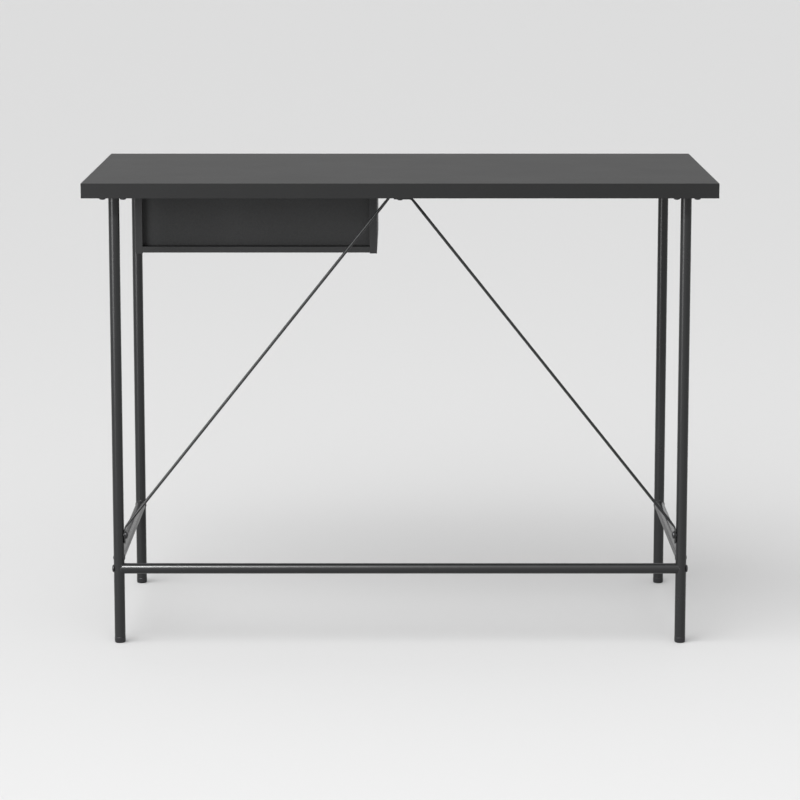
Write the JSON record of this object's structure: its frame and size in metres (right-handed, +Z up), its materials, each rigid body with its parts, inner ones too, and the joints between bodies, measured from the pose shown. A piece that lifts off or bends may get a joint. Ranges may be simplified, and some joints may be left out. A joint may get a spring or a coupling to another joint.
{
  "type": "writing desk",
  "caption": "Small writing desk: laminated top on a braced round-tube steel frame, with a drawer on roller runners in a case hung under the top.",
  "frame": {"origin": "on the floor under the middle of the top", "axes": "+Z up, +X to the user's right along the desk's length, the user sits at -Y"},
  "size_m": [1.016, 0.508, 0.762],
  "materials": {
    "top_laminate": "charcoal black laminate on board, fine satin texture",
    "edge_band": "charcoal black edge band, satin",
    "case_laminate": "charcoal black laminate, satin",
    "drawer_face_laminate": "charcoal black laminate, satin",
    "drawer_laminate": "charcoal black laminate, satin",
    "hardboard": "painted hardboard, matt",
    "powder_coat": "charcoal black powder coat, satin",
    "foot_plastic": "moulded black plastic",
    "black_screw": "black oxide steel",
    "zinc_steel": "zinc plated steel",
    "runner_enamel": "black enamelled steel",
    "nylon": "off-white nylon"
  },
  "bodies": {
    "desk_frame": {"brace_leg_screws": "black_screw", "brace_rivet_nuts": "black_screw", "brace_rod_left": "powder_coat", "brace_rod_right": "powder_coat", "brace_top_screw": "black_screw", "case_assembly_screws": "black_screw", "case_back": "case_laminate", "case_bottom": "case_laminate", "case_bracket_screws": "black_screw", "case_brackets": "zinc_steel", "case_roller_axles": "zinc_steel", "case_runner_left": "runner_enamel", "case_runner_right": "runner_enamel", "case_runner_screws": "zinc_steel", "case_side_inner": "case_laminate", "case_side_outer": "case_laminate", "edge_band_front": "edge_band", "edge_band_left": "edge_band", "edge_band_rear": "edge_band", "edge_band_right": "edge_band", "foot_cap_front_left": "foot_plastic", "foot_cap_front_right": "foot_plastic", "foot_cap_rear_left": "foot_plastic", "foot_cap_rear_right": "foot_plastic", "leg_front_left": "powder_coat", "leg_front_right": "powder_coat", "leg_plate_front_left": "powder_coat", "leg_plate_front_right": "powder_coat", "leg_plate_rear_left": "powder_coat", "leg_plate_rear_right": "powder_coat", "leg_plate_screws": "black_screw", "leg_rear_left": "powder_coat", "leg_rear_right": "powder_coat", "rear_stretcher": "powder_coat", "side_rail_left": "powder_coat", "side_rail_right": "powder_coat", "stretcher_bolts": "black_screw", "stretcher_plugs": "zinc_steel", "tabletop_core": "top_laminate"},
    "drawer": {"drawer_assembly_screws": "black_screw", "drawer_back": "drawer_laminate", "drawer_bottom": "hardboard", "drawer_front": "drawer_face_laminate", "drawer_front_screws": "black_screw", "drawer_roller_axles": "zinc_steel", "drawer_runner_left": "runner_enamel", "drawer_runner_right": "runner_enamel", "drawer_runner_screws": "zinc_steel", "drawer_side_left": "drawer_laminate", "drawer_side_right": "drawer_laminate", "drawer_sub_front": "drawer_laminate"},
    "case_roller_left_wheel": {"case_roller_left": "nylon"},
    "case_roller_right_wheel": {"case_roller_right": "nylon"},
    "drawer_roller_left_wheel": {"drawer_roller_left": "nylon"},
    "drawer_roller_right_wheel": {"drawer_roller_right": "nylon"}
  },
  "joints": [
    {"name": "drawer_slide", "type": "slide", "parent": "desk_frame", "child": "drawer", "axis": [0, -1, 0], "range_m": [0, 0.185]},
    {"name": "case_roller_left_spin", "type": "hinge", "parent": "desk_frame", "child": "case_roller_left_wheel", "pos_m": [0.05625, -0.205, 0.6598], "axis": [1, 0, 0], "continuous": true},
    {"name": "case_roller_right_spin", "type": "hinge", "parent": "desk_frame", "child": "case_roller_right_wheel", "pos_m": [0.41875, -0.205, 0.6598], "axis": [1, 0, 0], "continuous": true},
    {"name": "drawer_roller_left_spin", "type": "hinge", "parent": "drawer", "child": "drawer_roller_left_wheel", "pos_m": [0.05625, 0.012, 0.6529], "axis": [1, 0, 0], "continuous": true},
    {"name": "drawer_roller_right_spin", "type": "hinge", "parent": "drawer", "child": "drawer_roller_right_wheel", "pos_m": [0.41875, 0.012, 0.6529], "axis": [1, 0, 0], "continuous": true}
  ],
  "couplings": [
    {"joint": "case_roller_left_spin", "follows": "drawer_slide", "rad_per_m": 105.26},
    {"joint": "case_roller_right_spin", "follows": "drawer_slide", "rad_per_m": 105.26},
    {"joint": "drawer_roller_left_spin", "follows": "drawer_slide", "rad_per_m": 105.26},
    {"joint": "drawer_roller_right_spin", "follows": "drawer_slide", "rad_per_m": 105.26}
  ]
}
